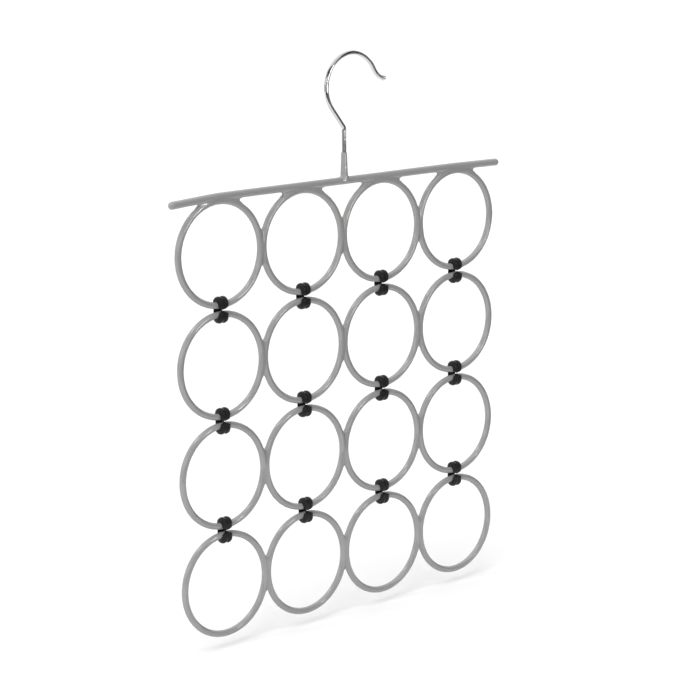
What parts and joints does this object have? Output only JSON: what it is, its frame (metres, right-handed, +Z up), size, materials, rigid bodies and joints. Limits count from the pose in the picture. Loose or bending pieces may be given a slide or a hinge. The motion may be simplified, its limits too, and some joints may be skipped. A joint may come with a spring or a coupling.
{
  "type": "scarf hanger",
  "caption": "Folding scarf hanger: a chromed wire hook on a coated top bar with rows of coated wire rings, joined row to row by black snap clips.",
  "frame": {"origin": "where the rail bears: the top of the inside of the hook", "axes": "+X along the bar to the right, +Y to the back, +Z up; the rows hang straight down, and the front is at -Y"},
  "size_m": [0.346, 0.0093, 0.4488],
  "materials": {
    "chromed_wire": "polished",
    "steel_wire": "drawn wire",
    "grey_vinyl": "smooth soft vinyl, satin",
    "black_plastic": "moulded, satin"
  },
  "bodies": {
    "hook_and_row_1": {"hook": "chromed_wire", "bar_wire": "steel_wire", "ring_wire_1_1": "steel_wire", "ring_wire_1_2": "steel_wire", "ring_wire_1_3": "steel_wire", "ring_wire_1_4": "steel_wire", "coating_row_1": "grey_vinyl"},
    "clips_1": {"clip_1_1": "black_plastic", "clip_1_2": "black_plastic", "clip_1_3": "black_plastic", "clip_1_4": "black_plastic"},
    "row_2": {"ring_wire_2_1": "steel_wire", "ring_wire_2_2": "steel_wire", "ring_wire_2_3": "steel_wire", "ring_wire_2_4": "steel_wire", "coating_row_2": "grey_vinyl"},
    "clips_2": {"clip_2_1": "black_plastic", "clip_2_2": "black_plastic", "clip_2_3": "black_plastic", "clip_2_4": "black_plastic"},
    "row_3": {"ring_wire_3_1": "steel_wire", "ring_wire_3_2": "steel_wire", "ring_wire_3_3": "steel_wire", "ring_wire_3_4": "steel_wire", "coating_row_3": "grey_vinyl"},
    "clips_3": {"clip_3_1": "black_plastic", "clip_3_2": "black_plastic", "clip_3_3": "black_plastic", "clip_3_4": "black_plastic"},
    "row_4": {"ring_wire_4_1": "steel_wire", "ring_wire_4_2": "steel_wire", "ring_wire_4_3": "steel_wire", "ring_wire_4_4": "steel_wire", "coating_row_4": "grey_vinyl"}
  },
  "joints": [
    {"name": "clips_1_on_row_1", "type": "hinge", "parent": "hook_and_row_1", "child": "clips_1", "pos_m": [0, 0, -0.1816], "axis": [1, 0, 0], "range_deg": [-85, 85]},
    {"name": "row_2_in_clips_1", "type": "hinge", "parent": "clips_1", "child": "row_2", "pos_m": [0, 0, -0.1886], "axis": [1, 0, 0], "range_deg": [-85, 85]},
    {"name": "clips_2_on_row_2", "type": "hinge", "parent": "row_2", "child": "clips_2", "pos_m": [0, 0, -0.2686], "axis": [-1, 0, 0], "range_deg": [-85, 85]},
    {"name": "row_3_in_clips_2", "type": "hinge", "parent": "clips_2", "child": "row_3", "pos_m": [0, 0, -0.2756], "axis": [-1, 0, 0], "range_deg": [-85, 85]},
    {"name": "clips_3_on_row_3", "type": "hinge", "parent": "row_3", "child": "clips_3", "pos_m": [0, 0, -0.3556], "axis": [1, 0, 0], "range_deg": [-85, 85]},
    {"name": "row_4_in_clips_3", "type": "hinge", "parent": "clips_3", "child": "row_4", "pos_m": [0, 0, -0.3626], "axis": [1, 0, 0], "range_deg": [-85, 85]}
  ]
}
